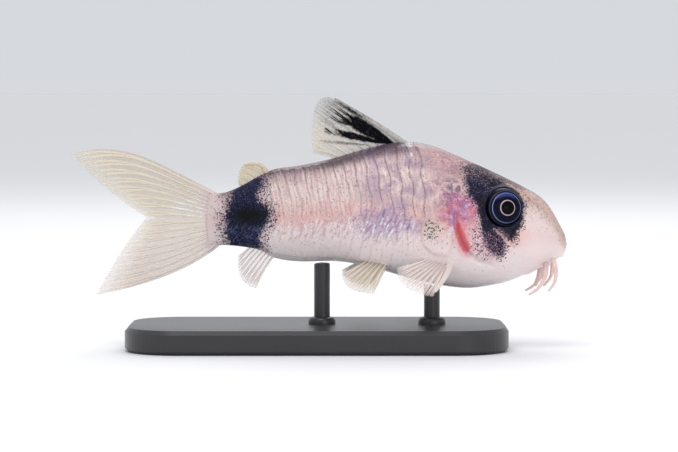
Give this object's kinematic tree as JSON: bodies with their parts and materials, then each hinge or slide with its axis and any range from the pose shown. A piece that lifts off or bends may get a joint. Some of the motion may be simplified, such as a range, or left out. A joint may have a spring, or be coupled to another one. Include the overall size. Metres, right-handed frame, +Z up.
{
  "type": "corydoras catfish",
  "caption": "Life-size still model of a small armoured catfish: plated flanks, spiny fins, forked tail and barbels, held by two rods on a flat display stand.",
  "frame": {"origin": "on the underside of the stand's base, midway between the tip of the snout and the tip of the tail fin, on the fish's mid-plane", "axes": "+X to the snout, +Y to the fish's left side, +Z up"},
  "size_m": [0.05, 0.0206, 0.0252],
  "materials": {
    "skin": "moist semi-gloss painted skin",
    "eye": "clear gloss over a dark iris",
    "gill_cover": "moist semi-gloss painted skin",
    "barbel": "moist semi-gloss",
    "fin": "thin translucent membrane over pale rays",
    "stand": "satin black"
  },
  "bodies": {
    "root": {"head": "skin", "trunk": "skin", "tail_peduncle": "skin", "dorsal_fin": "fin", "adipose_fin": "fin", "anal_fin": "fin", "caudal_fin_upper_lobe": "fin", "caudal_fin_lower_lobe": "fin", "eye_left": "eye", "eye_right": "eye", "gill_cover_left": "gill_cover", "gill_cover_right": "gill_cover", "pectoral_fin_left": "fin", "pectoral_fin_right": "fin", "pelvic_fin_left": "fin", "pelvic_fin_right": "fin", "barbel_upper_left": "barbel", "barbel_upper_right": "barbel", "barbel_lower_left": "barbel", "barbel_lower_right": "barbel", "barbel_chin_left": "barbel", "barbel_chin_right": "barbel", "stand_base": "stand", "stand_rod_front": "stand", "stand_rod_rear": "stand"}
  },
  "joints": []
}
